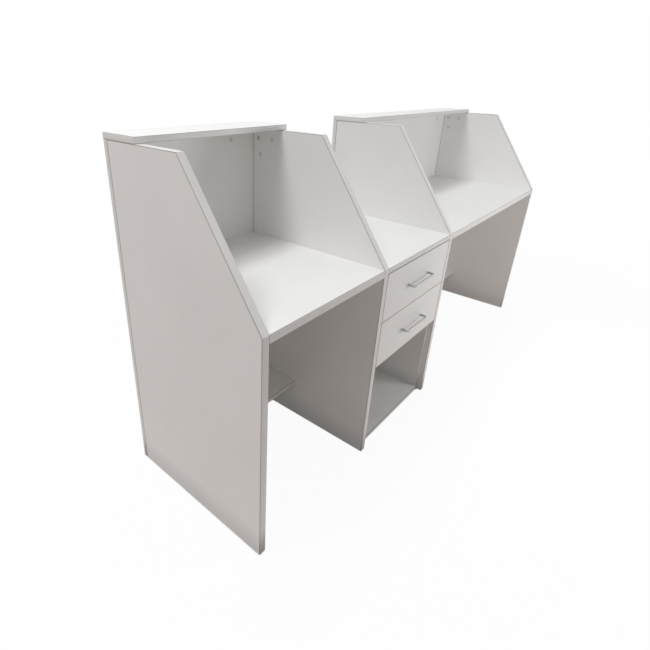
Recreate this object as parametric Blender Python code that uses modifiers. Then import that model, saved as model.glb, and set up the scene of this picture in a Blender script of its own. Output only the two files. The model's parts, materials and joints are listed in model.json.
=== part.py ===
"""Reception desk: two user stations with raised visitor counters and a drawer pedestal between them.

Metres, +Z up, +X along the desk to the seated user's right, +Y towards the visitor.
The origin lies on the floor, under the middle of the whole desk with its handles.
"""

from math import cos, pi, radians, sin

import bmesh
import bpy
from mathutils import Matrix, Vector

# Side panels: four upright boards whose front edge slopes back above the worktop
PANEL_T = 0.025
PANEL_DEPTH = 0.582
PANEL_HEIGHT = 1.147
SLOPE_RUN = 0.280

# Clear widths between the side panels, from left to right
LEFT_BAY = 0.550
PEDESTAL_BAY = 0.500
RIGHT_BAY = 1.150

# Worktops
DESK_HEIGHT = 0.760
DESK_T = 0.025
MIDDLE_TOP_T = 0.018

# Visitor side: front panels, and the counter shelves that lie on them
FRONT_T = 0.018
SHELF_T = 0.018
SHELF_DEPTH = 0.150

# Foot ledge in each kneehole, carried by a riser board under it
LEDGE_TOP = 0.165
LEDGE_T = 0.018
LEDGE_DEPTH = 0.244
RISER_T = 0.018
RISER_SETBACK = 0.122

# Pedestal carcass
CARCASS_T = 0.016
FLOOR_GAP = 0.006
SHELF_REVEAL = 0.004

# Drawers
DRAWER_FRONT_T = 0.018
DRAWER_FRONT_H = 0.180
DRAWER_REVEAL = 0.003
FRONT_CLEARANCE = 0.002
BOX_T = 0.015
BOX_LIFT = 0.030
BOX_HEADROOM = 0.030
BOX_REAR_SPACE = 0.112
BOTTOM_T = 0.004
GROOVE_HEIGHT = 0.010
GROOVE_DEPTH = 0.006

# Telescopic drawer slides: three nested steel channels on each side of a drawer
SLIDE_WIDTH = 0.0127
SLIDE_HEIGHT = 0.045
SLIDE_WALL = 0.0012
SLIDE_INSET = 0.002
SLIDE_LIP_SETBACK = 0.003
RUN_GAP = 0.0004

# Bow handles
HANDLE_SPACING = 0.160
HANDLE_STANDOFF = 0.026
HANDLE_RADIUS = 0.0045
HANDLE_BEND = 0.009
BEND_STEPS = 6

# Cam locks that draw the counter shelves and front panels tight
CAM_RADIUS = 0.0075
CAM_LENGTH = 0.0125
CAM_EDGE = 0.034
CAM_SLOT_WIDTH = 0.002
CAM_SLOT_DEPTH = 0.003
CAM_SEGMENTS = 24
SHELF_CAM_INSET = 0.043
PANEL_CAM_DROP = 0.089
FRONT_CAM_INSET = 0.113

# Fits and edges
JOINT_GAP = 0.0003
EDGE_RADIUS = 0.001
EDGE_SEGMENTS = 2

# Overall sizes
LENGTH = 4 * PANEL_T + LEFT_BAY + PEDESTAL_BAY + RIGHT_BAY
DEPTH = PANEL_DEPTH + JOINT_GAP + FRONT_T
HANDLE_REACH = JOINT_GAP + HANDLE_STANDOFF + HANDLE_RADIUS

# Faces of the side panels along X: left end, left divider, right divider, right end
X_LEFT_END = -LENGTH / 2
X_LEFT_BAY = X_LEFT_END + PANEL_T
X_LEFT_DIVIDER = X_LEFT_BAY + LEFT_BAY
X_PEDESTAL = X_LEFT_DIVIDER + PANEL_T
X_RIGHT_DIVIDER = X_PEDESTAL + PEDESTAL_BAY
X_RIGHT_BAY = X_RIGHT_DIVIDER + PANEL_T
X_RIGHT_END = X_RIGHT_BAY + RIGHT_BAY
X_MIDDLE = (X_PEDESTAL + X_RIGHT_DIVIDER) / 2

# Planes along Y, from the user's side to the visitor's side
Y_USER = (HANDLE_REACH - DEPTH) / 2
Y_DRAWER_BACK = Y_USER + DRAWER_FRONT_T
Y_CARCASS = Y_DRAWER_BACK + FRONT_CLEARANCE
Y_PANEL_REAR = Y_USER + PANEL_DEPTH
Y_FRONT_PANEL = Y_PANEL_REAR + JOINT_GAP
Y_VISITOR = Y_USER + DEPTH
Y_SHELF = Y_VISITOR - SHELF_DEPTH
Y_LEDGE = Y_PANEL_REAR - LEDGE_DEPTH
Y_RISER = Y_LEDGE + RISER_SETBACK

# Heights
Z_SHELF = PANEL_HEIGHT + JOINT_GAP
Z_MIDDLE_TOP = DESK_HEIGHT - MIDDLE_TOP_T
Z_CARCASS_TOP = Z_MIDDLE_TOP - JOINT_GAP
Z_UPPER_DRAWER = Z_MIDDLE_TOP - DRAWER_REVEAL - DRAWER_FRONT_H
Z_LOWER_DRAWER = Z_UPPER_DRAWER - DRAWER_REVEAL - DRAWER_FRONT_H
Z_PEDESTAL_SHELF = Z_LOWER_DRAWER + SHELF_REVEAL

# Inner faces of the pedestal carcass and the outer faces of the drawer boxes
X_CARCASS_LEFT = X_PEDESTAL + JOINT_GAP + CARCASS_T
X_CARCASS_RIGHT = X_RIGHT_DIVIDER - JOINT_GAP - CARCASS_T
X_BOX_LEFT = X_CARCASS_LEFT + SLIDE_WIDTH
X_BOX_RIGHT = X_CARCASS_RIGHT - SLIDE_WIDTH
Y_BOX = Y_DRAWER_BACK + JOINT_GAP
Y_BOX_REAR = Y_PANEL_REAR - BOX_REAR_SPACE
BOX_HEIGHT = DRAWER_FRONT_H - BOX_LIFT - BOX_HEADROOM


def clear_scene():
    for old in list(bpy.data.objects):
        bpy.data.objects.remove(old, do_unlink=True)


def new_collection(name):
    group = bpy.data.collections.new(name)
    bpy.context.scene.collection.children.link(group)
    return group


def finish(name, colour, roughness, metallic=0.0):
    material = bpy.data.materials.new(name)
    material.use_nodes = True
    shader = material.node_tree.nodes["Principled BSDF"]
    shader.inputs["Base Color"].default_value = (*colour, 1.0)
    shader.inputs["Roughness"].default_value = roughness
    shader.inputs["Metallic"].default_value = metallic
    material.diffuse_color = (*colour, 1.0)
    return material


clear_scene()
DESK = new_collection("reception_desk")
CUTTERS = new_collection("reception_desk_cutters")
CUTTERS.hide_render = True

MELAMINE = finish("white_melamine_board", (0.78, 0.77, 0.76), 0.42)
DRAWER_BOARD = finish("white_drawer_board", (0.70, 0.69, 0.68), 0.5)
HARDBOARD = finish("white_faced_hardboard", (0.66, 0.65, 0.63), 0.55)
STEEL = finish("zinc_plated_steel", (0.62, 0.63, 0.65), 0.35, 1.0)
NICKEL = finish("satin_nickel", (0.52, 0.51, 0.49), 0.3, 1.0)
ZINC = finish("die_cast_zinc", (0.45, 0.45, 0.46), 0.45, 1.0)


def place(obj, centre, carrier=None):
    """Put an object at a world point, as a child of the empty that carries it if there is one."""
    obj.parent = carrier
    obj.location = Vector(centre) - (carrier.location if carrier else Vector())
    return obj


def add_part(name, mesh, material, centre, carrier=None):
    mesh.materials.clear()
    mesh.materials.append(material)
    obj = bpy.data.objects.new(name, mesh)
    DESK.objects.link(obj)
    return place(obj, centre, carrier)


def block_mesh(name, size):
    """A closed box of this size about its own middle."""
    shape = bmesh.new()
    bmesh.ops.create_cube(shape, size=1.0, matrix=Matrix.Diagonal((*size, 1.0)))
    mesh = bpy.data.meshes.new(name)
    shape.to_mesh(mesh)
    shape.free()
    return mesh


def middle_and_size(low, high):
    low, high = Vector(low), Vector(high)
    return (low + high) / 2, high - low


def soften_edges(obj):
    """The small round on an edge band."""
    bevel = obj.modifiers.new("edge_round", "BEVEL")
    bevel.width = EDGE_RADIUS
    bevel.segments = EDGE_SEGMENTS
    bevel.limit_method = "ANGLE"
    bevel.angle_limit = radians(20)


def board(name, low, high, material=None, carrier=None):
    """A flat board between two corners."""
    middle, size = middle_and_size(low, high)
    obj = add_part(name, block_mesh(name, size), material or MELAMINE, middle, carrier)
    soften_edges(obj)
    return obj


def cut(obj, cutter):
    boolean = obj.modifiers.new("cut_" + cutter.name, "BOOLEAN")
    boolean.operation = "DIFFERENCE"
    boolean.solver = "EXACT"
    boolean.object = cutter


def add_cutter(name, mesh, centre, carrier=None):
    obj = bpy.data.objects.new(name, mesh)
    CUTTERS.objects.link(obj)
    obj.hide_render = True
    obj.display_type = "WIRE"
    return place(obj, centre, carrier)


def cylinder_mesh(name, radius, length, axis):
    """A closed round bar about its own middle, along a world axis."""
    shape = bmesh.new()
    turn = Vector((0, 0, 1)).rotation_difference(axis).to_matrix().to_4x4()
    bmesh.ops.create_cone(
        shape,
        cap_ends=True,
        segments=CAM_SEGMENTS,
        radius1=radius,
        radius2=radius,
        depth=length,
        matrix=turn,
    )
    mesh = bpy.data.meshes.new(name)
    shape.to_mesh(mesh)
    shape.free()
    mesh.shade_smooth()
    mesh.set_sharp_from_angle(angle=radians(40))
    return mesh


def cam_lock(name, host, mouth, outward):
    """A cam lock flush in a blind bore of its host board; outward is the face's normal at its mouth."""
    mouth, outward = Vector(mouth), Vector(outward)
    bore_length = CAM_LENGTH + 2 * JOINT_GAP
    bore = cylinder_mesh(name + "_bore", CAM_RADIUS + JOINT_GAP, bore_length, outward)
    cut(host, add_cutter(name + "_bore", bore, mouth - outward * (bore_length / 2 - JOINT_GAP)))

    body = cylinder_mesh(name, CAM_RADIUS, CAM_LENGTH, outward)
    centre = mouth - outward * (CAM_LENGTH / 2)
    cam = add_part(name, body, ZINC, centre)
    across = 2 * (CAM_RADIUS + JOINT_GAP)
    slot_size = Vector((across, across, CAM_SLOT_WIDTH))
    bore_axis = max(range(3), key=lambda axis: abs(outward[axis]))
    slot_size[bore_axis] = 2 * CAM_SLOT_DEPTH
    slot = add_cutter(name + "_slot", block_mesh(name + "_slot", slot_size), mouth)
    cut(cam, slot)


def side_panel(name, x_low):
    """An upright board whose upper front corner is cut away by the slope."""
    shape = bmesh.new()
    size = Vector((PANEL_T, PANEL_DEPTH, PANEL_HEIGHT))
    bmesh.ops.create_cube(shape, size=1.0, matrix=Matrix.Diagonal((*size, 1.0)))
    foot_of_slope = Vector((0, -PANEL_DEPTH / 2, DESK_HEIGHT - PANEL_HEIGHT / 2))
    rise = PANEL_HEIGHT - DESK_HEIGHT
    cut_result = bmesh.ops.bisect_plane(
        shape,
        geom=shape.verts[:] + shape.edges[:] + shape.faces[:],
        plane_co=foot_of_slope,
        plane_no=Vector((0, -rise, SLOPE_RUN)),
        clear_outer=True,
    )
    rim = [item for item in cut_result["geom_cut"] if isinstance(item, bmesh.types.BMEdge)]
    bmesh.ops.edgeloop_fill(shape, edges=rim)
    bmesh.ops.recalc_face_normals(shape, faces=shape.faces[:])
    mesh = bpy.data.meshes.new(name)
    shape.to_mesh(mesh)
    shape.free()
    middle = (x_low + PANEL_T / 2, Y_USER + PANEL_DEPTH / 2, PANEL_HEIGHT / 2)
    obj = add_part(name, mesh, MELAMINE, middle)
    soften_edges(obj)
    return obj


def panel_cams(name, panel, x_face, outward_x):
    """The three cam locks near a side panel's upper rear corner."""
    outward = (outward_x, 0, 0)
    z_shelf_cam = PANEL_HEIGHT - CAM_EDGE
    y_front_cam = Y_SHELF + SHELF_CAM_INSET
    y_rear_cam = Y_VISITOR - SHELF_CAM_INSET
    cam_lock(name + "_shelf_cam_near", panel, (x_face, y_front_cam, z_shelf_cam), outward)
    cam_lock(name + "_shelf_cam_far", panel, (x_face, y_rear_cam, z_shelf_cam), outward)
    y_panel_cam = Y_PANEL_REAR - CAM_EDGE
    z_panel_cam = PANEL_HEIGHT - PANEL_CAM_DROP
    cam_lock(name + "_front_panel_cam", panel, (x_face, y_panel_cam, z_panel_cam), outward)


def station(name, x_outer_left, x_bay_left, x_bay_right, x_outer_right):
    """Worktop, front panel, counter shelf and foot ledge between one pair of side panels."""
    left, right = x_bay_left + JOINT_GAP, x_bay_right - JOINT_GAP
    board(
        name + "_desktop",
        (left, Y_USER, DESK_HEIGHT - DESK_T),
        (right, Y_PANEL_REAR, DESK_HEIGHT),
    )
    front = board(
        name + "_front_panel",
        (x_outer_left, Y_FRONT_PANEL, 0),
        (x_outer_right, Y_VISITOR, PANEL_HEIGHT),
    )
    z_cam = PANEL_HEIGHT - CAM_EDGE
    for side, x_cam in (("left", x_bay_left + FRONT_CAM_INSET), ("right", x_bay_right - FRONT_CAM_INSET)):
        cam_lock(f"{name}_front_shelf_cam_{side}", front, (x_cam, Y_FRONT_PANEL, z_cam), (0, -1, 0))
    board(
        name + "_counter_shelf",
        (x_outer_left, Y_SHELF, Z_SHELF),
        (x_outer_right, Y_VISITOR, Z_SHELF + SHELF_T),
    )
    board(
        name + "_foot_ledge",
        (left, Y_LEDGE, LEDGE_TOP - LEDGE_T),
        (right, Y_PANEL_REAR, LEDGE_TOP),
    )
    board(
        name + "_ledge_riser",
        (left, Y_RISER, 0),
        (right, Y_RISER + RISER_T, LEDGE_TOP - LEDGE_T - JOINT_GAP),
    )


def pedestal_carcass():
    """The fixed boards between the two dividers."""
    left, right = X_PEDESTAL + JOINT_GAP, X_RIGHT_DIVIDER - JOINT_GAP
    board("middle_top", (left, Y_USER, Z_MIDDLE_TOP), (right, Y_VISITOR, DESK_HEIGHT))
    board("middle_front_panel", (left, Y_FRONT_PANEL, 0), (right, Y_VISITOR, Z_CARCASS_TOP))
    board("pedestal_left_side", (left, Y_CARCASS, 0), (X_CARCASS_LEFT, Y_PANEL_REAR, Z_CARCASS_TOP))
    board("pedestal_right_side", (X_CARCASS_RIGHT, Y_CARCASS, 0), (right, Y_PANEL_REAR, Z_CARCASS_TOP))
    for name, z_low in (("pedestal_bottom", FLOOR_GAP), ("pedestal_shelf", Z_PEDESTAL_SHELF)):
        board(
            name,
            (X_CARCASS_LEFT + JOINT_GAP, Y_CARCASS, z_low),
            (X_CARCASS_RIGHT - JOINT_GAP, Y_PANEL_REAR, z_low + CARCASS_T),
        )


def joint_empty(name, point):
    """The carrier of one moving body, on the axis along which it slides."""
    empty = bpy.data.objects.new(name, None)
    DESK.objects.link(empty)
    empty.location = point
    return empty


def channel(name, low, high, open_side, carrier=None):
    """A steel channel along Y, open at both ends and towards -X or +X."""
    middle, size = middle_and_size(low, high)
    shape = bmesh.new()
    bmesh.ops.create_cube(shape, size=1.0, matrix=Matrix.Diagonal((*size, 1.0)))
    shape.normal_update()
    open_faces = [face for face in shape.faces if abs(face.normal.y) > 0.5 or face.normal.x * open_side > 0.5]
    bmesh.ops.delete(shape, geom=open_faces, context="FACES")
    mesh = bpy.data.meshes.new(name)
    shape.to_mesh(mesh)
    shape.free()
    obj = add_part(name, mesh, STEEL, middle, carrier)
    wall = obj.modifiers.new("sheet", "SOLIDIFY")
    wall.thickness = SLIDE_WALL
    wall.offset = -1.0
    wall.use_even_offset = True
    wall.use_rim = True


def slide_pair(name, z_middle, drawer, middle_members):
    """Both telescopic slides of one drawer: outer on the carcass, inner on the drawer, one between them."""
    y_low = Y_CARCASS + SLIDE_INSET
    y_high = y_low + Y_BOX_REAR - Y_BOX
    nest = SLIDE_WALL + RUN_GAP
    members = (
        ("outer", None, JOINT_GAP, SLIDE_WIDTH - SLIDE_LIP_SETBACK, 0, 1),
        ("middle", middle_members, JOINT_GAP + nest, SLIDE_WIDTH - SLIDE_LIP_SETBACK, nest, 1),
        ("inner", drawer, JOINT_GAP + 2 * nest, SLIDE_WIDTH - JOINT_GAP, 2 * nest, -1),
    )
    for side, x_carcass, inward in (("left", X_CARCASS_LEFT, 1), ("right", X_CARCASS_RIGHT, -1)):
        for member, carrier, near, far, step, opens in members:
            x_low, x_high = sorted((x_carcass + inward * near, x_carcass + inward * far))
            half_height = SLIDE_HEIGHT / 2 - step
            channel(
                f"{name}_slide_{member}_{side}",
                (x_low, y_low, z_middle - half_height),
                (x_high, y_high, z_middle + half_height),
                opens * inward,
                carrier,
            )


def bow_handle(name, z_middle, carrier):
    """A round bar bent into a bow, its two feet on the drawer front."""
    half = HANDLE_SPACING / 2
    foot = -JOINT_GAP
    bar = foot - HANDLE_STANDOFF
    arc = [pi / 2 * step / BEND_STEPS for step in range(BEND_STEPS + 1)]
    left_bend = [
        (-half + HANDLE_BEND * (1 - cos(turn)), bar + HANDLE_BEND * (1 - sin(turn)), 0) for turn in arc
    ]
    right_bend = [(-x, y, z) for x, y, z in reversed(left_bend)]
    path = [(-half, foot, 0), *left_bend, *right_bend, (half, foot, 0)]
    curve = bpy.data.curves.new(name, "CURVE")
    curve.dimensions = "3D"
    curve.bevel_depth = HANDLE_RADIUS
    curve.bevel_resolution = 3
    curve.use_fill_caps = True
    spline = curve.splines.new("POLY")
    spline.points.add(len(path) - 1)
    for point, place_on_path in zip(spline.points, path):
        point.co = (*place_on_path, 1.0)
    curve.materials.append(NICKEL)
    obj = bpy.data.objects.new(name, curve)
    DESK.objects.link(obj)
    place(obj, (X_MIDDLE, Y_USER, z_middle), carrier)


def drawer(name, z_front):
    """One drawer with its front, box, handle and slides; z_front is the front's lower edge."""
    z_middle = z_front + DRAWER_FRONT_H / 2
    moving = joint_empty(name + "_drawer_carrier", (X_MIDDLE, Y_USER, z_middle))
    half_way = joint_empty(name + "_slide_carrier", (X_MIDDLE, Y_USER, z_middle))
    z_box = z_front + BOX_LIFT
    z_box_top = z_box + BOX_HEIGHT
    z_bottom = z_box + GROOVE_HEIGHT
    inner_left, inner_right = X_BOX_LEFT + BOX_T, X_BOX_RIGHT - BOX_T

    front = board(
        name + "_drawer_front",
        (X_PEDESTAL + DRAWER_REVEAL, Y_USER, z_front),
        (X_RIGHT_DIVIDER - DRAWER_REVEAL, Y_DRAWER_BACK, z_front + DRAWER_FRONT_H),
        MELAMINE,
        moving,
    )
    left = board(
        name + "_drawer_left_side",
        (X_BOX_LEFT, Y_BOX, z_box),
        (inner_left, Y_BOX_REAR, z_box_top),
        DRAWER_BOARD,
        moving,
    )
    right = board(
        name + "_drawer_right_side",
        (inner_right, Y_BOX, z_box),
        (X_BOX_RIGHT, Y_BOX_REAR, z_box_top),
        DRAWER_BOARD,
        moving,
    )
    board(
        name + "_drawer_back",
        (inner_left + JOINT_GAP, Y_BOX_REAR - BOX_T, z_bottom + BOTTOM_T + JOINT_GAP),
        (inner_right - JOINT_GAP, Y_BOX_REAR, z_box_top),
        DRAWER_BOARD,
        moving,
    )

    # The thin bottom slides into one groove in the sides and the front
    bottom_low = Vector((inner_left - GROOVE_DEPTH, Y_DRAWER_BACK - GROOVE_DEPTH, z_bottom))
    bottom_high = Vector((inner_right + GROOVE_DEPTH, Y_BOX_REAR, z_bottom + BOTTOM_T))
    middle, size = middle_and_size(bottom_low, bottom_high)
    bottom = block_mesh(name + "_drawer_bottom", size)
    add_part(name + "_drawer_bottom", bottom, HARDBOARD, middle, moving)
    slack = Vector((JOINT_GAP, JOINT_GAP, JOINT_GAP))
    middle, size = middle_and_size(bottom_low - slack, bottom_high + slack)
    groove = add_cutter(name + "_groove", block_mesh(name + "_groove", size), middle, moving)
    for grooved in (front, left, right):
        cut(grooved, groove)

    bow_handle(name + "_handle", z_middle, moving)
    slide_pair(name, (z_box + z_box_top) / 2, moving, half_way)


def build_desk():
    left_end = side_panel("left_end_panel", X_LEFT_END)
    left_divider = side_panel("left_divider_panel", X_LEFT_DIVIDER)
    right_divider = side_panel("right_divider_panel", X_RIGHT_DIVIDER)
    right_end = side_panel("right_end_panel", X_RIGHT_END)
    panel_cams("left_end", left_end, X_LEFT_BAY, 1)
    panel_cams("left_divider", left_divider, X_LEFT_DIVIDER, -1)
    panel_cams("right_divider", right_divider, X_RIGHT_BAY, 1)
    panel_cams("right_end", right_end, X_RIGHT_END, -1)

    station("left", X_LEFT_END, X_LEFT_BAY, X_LEFT_DIVIDER, X_PEDESTAL)
    station("right", X_RIGHT_DIVIDER, X_RIGHT_BAY, X_RIGHT_END, X_RIGHT_END + PANEL_T)
    pedestal_carcass()
    drawer("upper", Z_UPPER_DRAWER)
    drawer("lower", Z_LOWER_DRAWER)


build_desk()
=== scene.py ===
"""Looks of the reception desk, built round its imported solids.

Metres, in the solids' own frame: +X to the seated user's right, +Y towards the visitor, +Z up.
"""

import json
from math import cos, pi, radians, sin, tau

import bmesh
import bpy
from mathutils import Matrix, Vector


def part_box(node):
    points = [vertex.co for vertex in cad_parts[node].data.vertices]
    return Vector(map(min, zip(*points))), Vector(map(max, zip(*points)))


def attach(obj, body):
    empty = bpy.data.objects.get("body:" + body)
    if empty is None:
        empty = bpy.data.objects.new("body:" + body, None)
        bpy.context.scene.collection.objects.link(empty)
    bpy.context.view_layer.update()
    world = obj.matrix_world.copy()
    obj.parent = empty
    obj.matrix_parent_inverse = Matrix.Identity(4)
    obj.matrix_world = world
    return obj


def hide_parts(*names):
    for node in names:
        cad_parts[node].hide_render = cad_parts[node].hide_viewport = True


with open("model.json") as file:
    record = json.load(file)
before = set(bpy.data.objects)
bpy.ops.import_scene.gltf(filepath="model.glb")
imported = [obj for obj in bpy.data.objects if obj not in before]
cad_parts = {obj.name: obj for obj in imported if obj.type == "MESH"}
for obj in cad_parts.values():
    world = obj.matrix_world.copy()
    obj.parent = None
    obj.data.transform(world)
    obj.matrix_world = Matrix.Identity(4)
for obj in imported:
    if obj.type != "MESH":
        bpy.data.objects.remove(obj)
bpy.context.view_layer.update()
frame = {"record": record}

MM = 0.001

# How far a cutter stands clear of the face that it cuts
CUT_CLEAR = 1 * MM
# Corners sharper than this many degrees stay crisp, and flatter ones are shaded round
CRISP_ANGLE = 35

# Edge bands: a strip glued to the sawn edge of a board, its two arrises scraped round.
# Each is its thickness, its arris radius and its glue line's width. A real glue line is 0.2 mm wide;
# the thick band's is drawn as coarse as it needs to show as a thin dark line.
THICK_BAND = (1.3 * MM, 1.1 * MM, 0.8 * MM)
THIN_BAND = (0.6 * MM, 0.25 * MM, 0.2 * MM)
ARRIS_STEPS = 4
GLUE_SINK = 0.3 * MM
# Strips that meet in a mitre are welded where their points lie as near as this
WELD = 0.01 * MM

# Painted shade along the foot of the standing boards and their bands, darker towards the floor: full below
# the first height, gone above the second, its edge ragged by so much over waves of such a length, all in
# millimetres
FOOT_SHADE_LOW = 10
FOOT_SHADE_HIGH = 110
FOOT_SHADE_RAGGED = 12
FOOT_SHADE_WAVE = 90

# Side panels
SLOPE_RUN = 280 * MM

# Cam locks, their cross recess and the bores that they sit in
CAM_RADIUS = 7.5 * MM
CAM_LENGTH = 12.5 * MM
CAM_CLEARANCE = 0.2 * MM
CAM_STEPS = 40
CROSS_WIDTH = 1.8 * MM
CROSS_SPAN = 8.0 * MM
CROSS_DEPTH = 3.0 * MM
CROSS_TAPER = 0.6
# The groove round a cam's face, as (radius, height), the chamfer of its rim and its start mark
CAM_GROOVE = ((5.0 * MM, 0), (5.2 * MM, -0.3 * MM), (5.6 * MM, -0.3 * MM), (5.8 * MM, 0))
CAM_CHAMFER = 0.4 * MM
START_MARK_SIZE = (1.2 * MM, 1.2 * MM, 0.8 * MM)
START_MARK_RADIUS = 6.4 * MM
# How far the locked cams of a side panel and of a front panel are turned, in shares of a quarter
SIDE_CAM_TURNS = (0.3, 0.55, 0.8)
FRONT_CAM_TURN = 0.4
# The cams under a board: how far in from its ends and from its long edges
HIDDEN_CAM_INSET = 34 * MM
HIDDEN_CAM_MARGIN = 80 * MM

# Bow handles
BAR_RADIUS = 4.5 * MM
BEND_RADIUS = 9 * MM
BEND_STEPS = 10
BAR_SIDES = 28
FOOT_CHAMFER = 0.5 * MM
HANDLE_SPACING = 160 * MM

# The drawers' hardboard bottoms, with eased rims, and the slack of the grooves that they lie in
SHEET_EASE = 0.6 * MM
GROOVE_SLACK = 0.2 * MM

# Screws with a low round head, its top given in shares of its radius and height, and a cross recess that is
# turned by so many radians
HEAD_RADIUS = 4.0 * MM
HEAD_HEIGHT = 2.2 * MM
HEAD_ROUND = ((0.45, 0.97), (0.8, 0.75), (1.0, 0.25))
HEAD_STEPS = 24
HEAD_CROSS_SPAN = 4.0 * MM
HEAD_CROSS_WIDTH = 0.9 * MM
HEAD_CROSS_DEPTH = 1.1 * MM
HEAD_TURN = 0.4

# Drawer slides, as seen in section: u runs from the carcass to the drawer, z from the slide's middle line.
# Each member has the u of its web, the z of its flanges and the u that they reach to.
SHEET_T = 1.2 * MM
OUTER_WEB, OUTER_FLANGE, OUTER_REACH = 0.9 * MM, 21.9 * MM, 9.1 * MM
OUTER_LIP = 1.3 * MM
MIDDLE_WEB, MIDDLE_FLANGE, MIDDLE_REACH = 2.5 * MM, 17.3 * MM, 9.1 * MM
INNER_WEB, INNER_FLANGE, INNER_REACH = 11.8 * MM, 12.7 * MM, 4.1 * MM
# The bends of a member, and the tighter ones of the member with a lip
PLAIN_BEND = 1.5 * MM
LIPPED_BEND = 0.6 * MM
# The punched holes' places along a member, in shares of its length, and those of the inner member that hold a
# screw to the drawer's side
HOLE_SHARES = (0.08, 0.3, 0.52, 0.74, 0.93)
SCREWED_SHARES = (0.08, 0.74)
HOLE_RADIUS = 2.4 * MM
HOLE_REACH = 3 * MM
HOLE_STEPS = 20
# Balls run between the outer and the middle member, and between the middle and the inner one
OUTER_TRACK_U = 5.6 * MM
INNER_TRACK_U = 6.4 * MM
BALL_RADIUS = 1.55 * MM
BALL_PLAY = 0.1 * MM
BALL_FACETS = 3
BALL_PITCH = 16 * MM
BALL_COUNT = 11
CAGE_T = 0.8 * MM
CAGE_WIDTH = 4.4 * MM
CAGE_INSET = 20 * MM

# The photograph's camera, found from the desk's corners in a frame 650 pixels wide: its angles are in degrees
# and its sensor in millimetres
PHOTO_WIDTH = 650
CAMERA_PLACE = (-1.8119, -0.8917, 1.3049)
CAMERA_AZIMUTH = -48.941
CAMERA_ELEVATION = 25.160
CAMERA_ROLL = -1.341
FOCAL_PIXELS = 451.79
CENTRE_PIXEL = (273.34, 291.32)
SENSOR_WIDTH = 36.0

# Light
WORLD_LIGHT = 0.34
# The lamps are a cool white
LAMP_TONE = "#FDFEFF"
# Each soft light: its place, the point it faces, its two sides in metres and its power in watts
SOFT_LIGHTS = {
    "ceiling_strip_rear": ((0.0, 1.73, 7.0), (0.0, 1.73, 0.0), (9.6, 1.2), 132),
    "ceiling_panel_left": ((-3.6, 1.2, 7.1), (-3.6, 1.2, 0.0), (4.0, 1.8), 155),
    "ceiling_strip_left": ((-2.6, 0.16, 4.0), (-2.6, 0.16, 0.0), (2.0, 0.9), 26),
    "low_front_softbox": ((0.65, -1.55, 0.9), (0.1, 0.0, 0.4), (0.7, 0.5), 8.2),
}
# The floor's side in metres
FLOOR_SIZE = 120
# The share of the floor's look that is plain white, near the desk and from so far away on
FLOOR_WHITE_NEAR = 0.94
FLOOR_WHITE_FROM = 4.0
# The floor's tone as the light meets it, and as the eye does where it takes shadow
FLOOR_LIT = "#C8BAB3"
FLOOR_SHADED = "#F2F1EF"
# The contact shadow: how near the desk must be, the shares of open sky that are seen as black and as white,
# and the samples that it is made of
CONTACT_SHADOW = 12 * MM
CONTACT_DARK = 0.1
CONTACT_OPEN = 0.7
CONTACT_SAMPLES = 16


def linear(hex_colour):
    """An sRGB hex colour as linear red, green, blue and alpha."""
    shares = [int(hex_colour[start:start + 2], 16) / 255 for start in (1, 3, 5)]
    return (*(s / 12.92 if s <= 0.04045 else ((s + 0.055) / 1.055) ** 2.4 for s in shares), 1.0)


def per_metre(size_mm):
    """The texture scale that gives features of this size."""
    return 1000 / size_mm


def add_node(tree, kind, settings, links):
    """Adds a shader node, sets its properties and sockets, and links sources to its sockets.

    The setting stops gives a colour ramp its places and hex colours.
    """
    made = tree.nodes.new("ShaderNode" + kind)
    for name, value in settings.items():
        if name == "stops":
            while len(made.color_ramp.elements) < len(value):
                made.color_ramp.elements.new(0.5)
            for element, (place, hex_colour) in zip(made.color_ramp.elements, value):
                element.position = place
                element.color = linear(hex_colour)
        elif isinstance(name, int) or name in made.inputs:
            made.inputs[name].default_value = value
        else:
            setattr(made, name, value)
    for name, source in links.items():
        tree.links.new(source, made.inputs[name])
    return made


def new_material(name):
    """An empty node material with its output node."""
    material = bpy.data.materials.new(name)
    material.use_nodes = True
    tree = material.node_tree
    tree.nodes.clear()
    return material, tree, tree.nodes.new("ShaderNodeOutputMaterial")


# Finishes

# The stretch of a noise over which a sheet's or a metal's tone and sheen change
SHEET_RANGE = (0.3, 0.7)
METAL_RANGE = (0.35, 0.65)
# The places of wood particles' dark, middle and light tones in their noise
WOOD_PLACES = (0.2, 0.5, 0.8)
# Wood dust: how many grains lie across a flake, and its share of the tone
DUST_ACROSS = 5
DUST_SHARE = 0.35
# The share of a metal's tone that its slow cloud has
CLOUD_SHARE = 0.5


def painted_foot_shade(tree, place, unshaded, foot):
    """The tone of a surface, gone over to a darker painted shade along the floor."""
    ragged = add_node(tree, "TexNoise", {"Scale": per_metre(FOOT_SHADE_WAVE), "Detail": 5.0}, {"Vector": place})
    lift = add_node(
        tree, "MapRange", {"To Min": -FOOT_SHADE_RAGGED * MM, "To Max": FOOT_SHADE_RAGGED * MM},
        {"Value": ragged.outputs["Fac"]},
    )
    height = add_node(tree, "SeparateXYZ", {}, {"Vector": place})
    wavy = add_node(tree, "Math", {"operation": "ADD"}, {0: height.outputs["Z"], 1: lift.outputs["Result"]})
    clear = add_node(
        tree, "MapRange",
        {"interpolation_type": "SMOOTHSTEP", "From Min": FOOT_SHADE_LOW * MM, "From Max": FOOT_SHADE_HIGH * MM},
        {"Value": wavy.outputs[0]},
    )
    # Painted shade: near the floor the tone goes over to the darker foot tone
    tone = add_node(
        tree, "Mix", {"data_type": "RGBA", 6: linear(foot)}, {0: clear.outputs["Result"], 7: unshaded}
    )
    return tone.outputs[2]


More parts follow.
